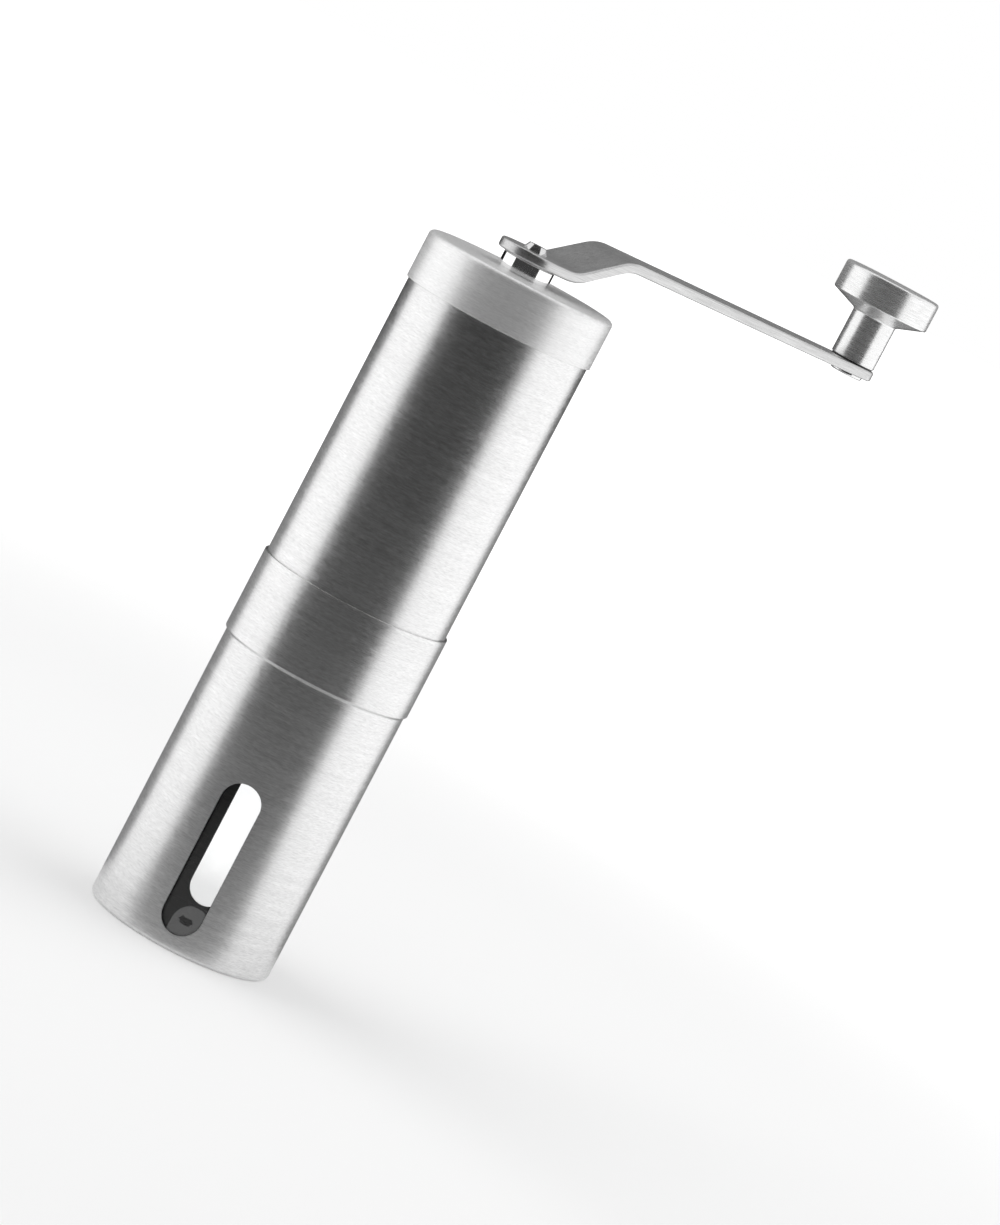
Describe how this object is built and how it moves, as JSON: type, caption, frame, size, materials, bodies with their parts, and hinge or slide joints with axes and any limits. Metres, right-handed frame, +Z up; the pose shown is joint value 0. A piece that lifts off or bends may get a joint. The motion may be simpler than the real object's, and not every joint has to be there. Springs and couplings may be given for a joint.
{
  "type": "hand crank coffee grinder",
  "caption": "Slim cylindrical steel hand coffee grinder: bean barrel with conical ceramic burrs, windowed grounds cup, slip-on lid and pull-off bent crank with turned knob.",
  "frame": {"origin": "centre of the cup's base, on the surface it stands on", "axes": "+Z up along the grinding axis; one window faces -Y; the crank rests 45 degrees from +X towards +Y"},
  "size_m": [0.1146, 0.1146, 0.2134],
  "materials": {
    "brushed_steel": "circumferential brushed grain",
    "satin_steel": "satin, lengthwise grain",
    "bright_steel": "bright turned",
    "chrome": "polished",
    "turned_aluminium": "turned satin",
    "black_plastic": "moulded, semi-matt",
    "gloss_black_plastic": "moulded, glossy",
    "black_nylon": "moulded",
    "ceramic": "unglazed, matt white",
    "clear_plastic": "clear moulded plastic",
    "brass": "machined"
  },
  "bodies": {
    "cup": {"cup_shell": "brushed_steel", "window_liner": "clear_plastic"},
    "barrel": {"barrel_shell": "brushed_steel", "burr_carrier": "black_plastic", "ring_burr": "ceramic", "ring_screws": "bright_steel", "shaft_column": "black_plastic", "lower_bush": "black_nylon", "upper_bush": "black_nylon"},
    "drive": {"shaft": "bright_steel", "drive_pin": "bright_steel", "drive_collar": "bright_steel", "thrust_washer": "black_nylon", "pressure_spring": "bright_steel"},
    "seat": {"spring_seat": "bright_steel"},
    "burr": {"inner_burr": "ceramic", "burr_core": "black_plastic"},
    "nut": {"adjust_nut": "gloss_black_plastic", "nut_insert": "brass"},
    "lid": {"lid_shell": "brushed_steel", "lid_insert": "black_plastic", "lid_collar": "chrome"},
    "crank": {"crank_arm": "satin_steel", "knob_spindle": "bright_steel", "knob_washer": "black_nylon", "knob_clip": "bright_steel"},
    "handle_knob": {"knob": "turned_aluminium"}
  },
  "joints": [
    {"name": "barrel_lift", "type": "slide", "parent": "cup", "child": "barrel", "axis": [0, 0, 1], "range_m": [0, 0.082]},
    {"name": "crank_turn", "type": "hinge", "parent": "barrel", "child": "drive", "pos_m": [0, 0, 0.12], "axis": [0, 0, 1], "continuous": true},
    {"name": "burr_adjust", "type": "slide", "parent": "drive", "child": "seat", "axis": [0, 0, 1], "range_m": [0, 0.0015], "deforming": ["pressure_spring"]},
    {"name": "burr_drop", "type": "slide", "parent": "seat", "child": "burr", "axis": [0, 0, -1], "range_m": [0, 0.036]},
    {"name": "nut_turn", "type": "hinge", "parent": "burr", "child": "nut", "pos_m": [0, 0, 0.067], "axis": [0, 0, 1], "range_deg": [0, 540]},
    {"name": "crank_lift", "type": "slide", "parent": "drive", "child": "crank", "axis": [0, 0, 1], "range_m": [0, 0.035]},
    {"name": "lid_lift", "type": "slide", "parent": "barrel", "child": "lid", "axis": [0, 0, 1], "range_m": [0, 0.0271]},
    {"name": "knob_spin", "type": "hinge", "parent": "crank", "child": "handle_knob", "pos_m": [0.07778, 0.07778, 0.2], "axis": [0, 0, 1], "continuous": true}
  ],
  "couplings": [
    {"joint": "burr_adjust", "follows": "nut_turn", "m_per_rad": 0.000159},
    {"joint": "lid_lift", "follows": "crank_lift", "ratio": 0.7714}
  ]
}
